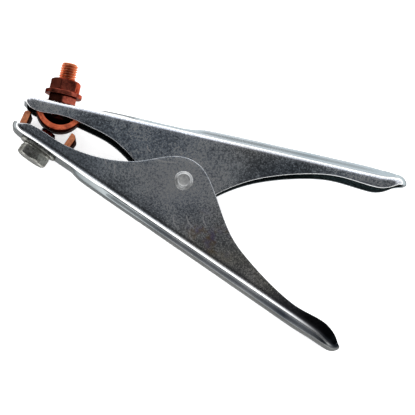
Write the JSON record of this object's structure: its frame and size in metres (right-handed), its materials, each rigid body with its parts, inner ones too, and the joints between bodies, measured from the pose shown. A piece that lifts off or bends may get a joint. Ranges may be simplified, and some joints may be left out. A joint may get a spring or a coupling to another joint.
{
  "type": "welding ground clamp",
  "caption": "Sprung plier-type ground clamp: two pressed steel channel arms on one rivet, a half-round copper contact with a threaded cable terminal, and a forked copper saddle.",
  "frame": {"origin": "centre of the clamp's box, at the height of the lower rivet head it lies on", "axes": "+X from the jaws to the handles, +Y from the lower arm to the upper arm, +Z along the pivot rivet"},
  "size_m": [0.2278, 0.1068, 0.036],
  "materials": {
    "zinc_plate": "zinc plated pressed sheet, blue-grey, slightly mottled",
    "rivet_steel": "zinc plated, turned",
    "spring_steel": "oiled spring wire",
    "copper_plated_steel": "copper plated steel, tarnished",
    "copper_strip": "bare copper strip",
    "zinc_bolt": "zinc plated, greenish grey"
  },
  "bodies": {
    "lower_arm": {"lower_arm": "zinc_plate", "pivot_rivet": "rivet_steel", "pivot_sleeve": "rivet_steel", "torsion_spring": "spring_steel", "lower_contact": "copper_strip", "lower_contact_bolt": "zinc_bolt", "lower_flat_washer": "zinc_bolt", "lower_spring_washer": "zinc_bolt"},
    "upper_arm": {"upper_arm": "zinc_plate", "terminal_stud": "copper_plated_steel", "stud_lock_nut": "copper_plated_steel", "upper_contact": "copper_strip"},
    "terminal_washer": {"terminal_washer": "copper_plated_steel"},
    "terminal_nut": {"terminal_nut": "copper_plated_steel"}
  },
  "joints": [
    {"name": "arm_pivot", "type": "hinge", "parent": "lower_arm", "child": "upper_arm", "pos_m": [-0.00882, 0.00022, 0.018], "axis": [0, 0, -1], "range_deg": [0, 35], "stiffness_Nm_per_rad": 5, "springref_deg": -57.3, "deforming": ["torsion_spring"]},
    {"name": "terminal_lift", "type": "slide", "parent": "upper_arm", "child": "terminal_washer", "axis": [-0.1874, 0.9823, 0], "range_m": [0, 0.006]},
    {"name": "terminal_turn", "type": "hinge", "parent": "terminal_washer", "child": "terminal_nut", "pos_m": [-0.09501, 0.02939, 0.018], "axis": [-0.1874, 0.9823, 0], "range_deg": [0, 1441]}
  ],
  "couplings": [
    {"joint": "terminal_turn", "follows": "terminal_lift", "rad_per_m": 4188.8}
  ]
}
